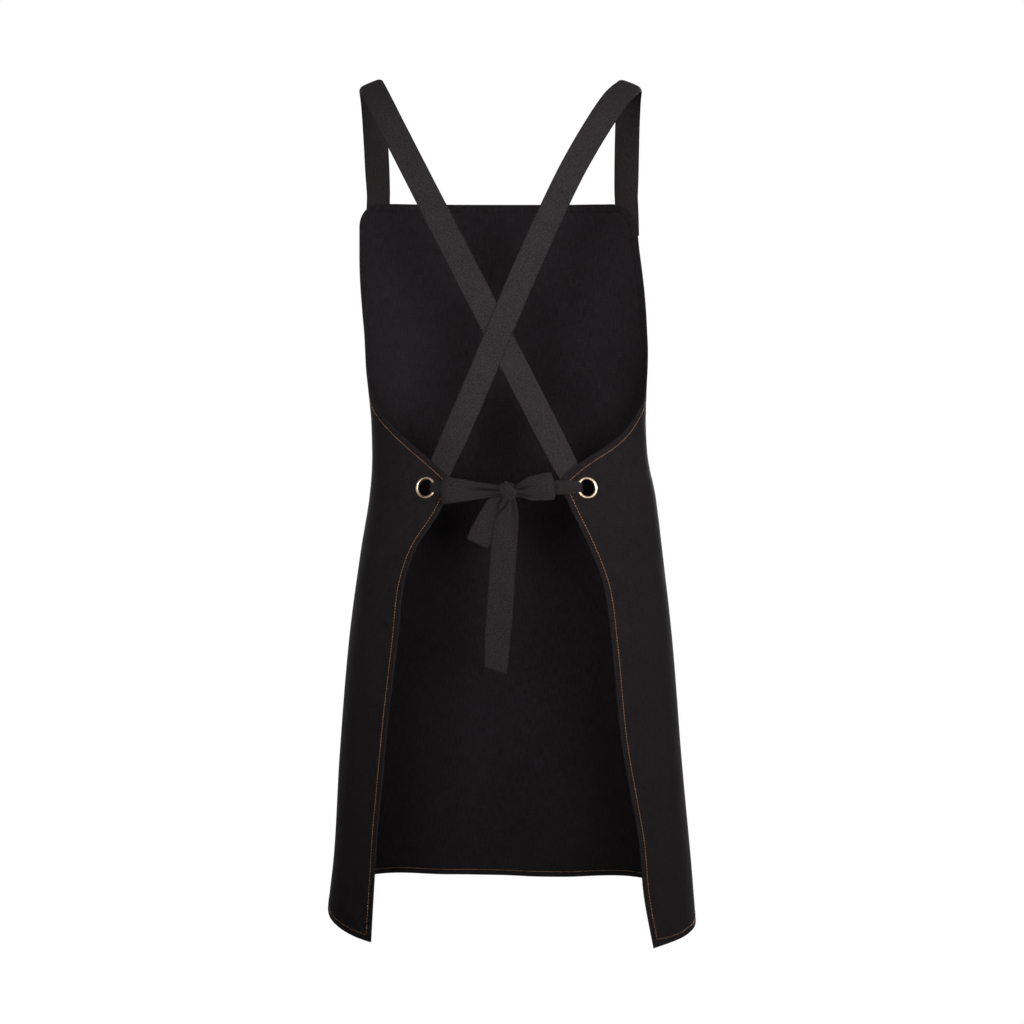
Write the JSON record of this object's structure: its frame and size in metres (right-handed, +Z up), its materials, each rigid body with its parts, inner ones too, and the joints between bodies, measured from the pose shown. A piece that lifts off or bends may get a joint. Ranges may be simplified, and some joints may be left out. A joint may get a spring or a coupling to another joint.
{
  "type": "cross back apron",
  "caption": "Dark cloth work apron in its worn shape, with shoulder straps crossed at the back, passed through brass grommets in the wing tips and tied in a bow.",
  "frame": {"origin": "on the middle line, level with the places where the straps rest on the wearer's shoulders", "axes": "+Z up, +Y towards the bib, which is the wearer's front, +X to the right seen from the back"},
  "size_m": [0.4929, 0.289, 1.1432],
  "materials": {
    "panel_cloth": "matt black cotton twill with copper topstitching",
    "strap_tape": "matt warm grey heathered woven tape",
    "grommet_brass": "satin"
  },
  "bodies": {
    "root": {"apron_panel": "panel_cloth", "strap_left": "strap_tape", "strap_right": "strap_tape", "grommet_eyelet_left": "grommet_brass", "grommet_eyelet_right": "grommet_brass", "grommet_washer_left": "grommet_brass", "grommet_washer_right": "grommet_brass", "bow_loop_left": "strap_tape", "bow_loop_right": "strap_tape", "bow_knot": "strap_tape", "tail_long": "strap_tape", "tail_short": "strap_tape"}
  },
  "joints": []
}
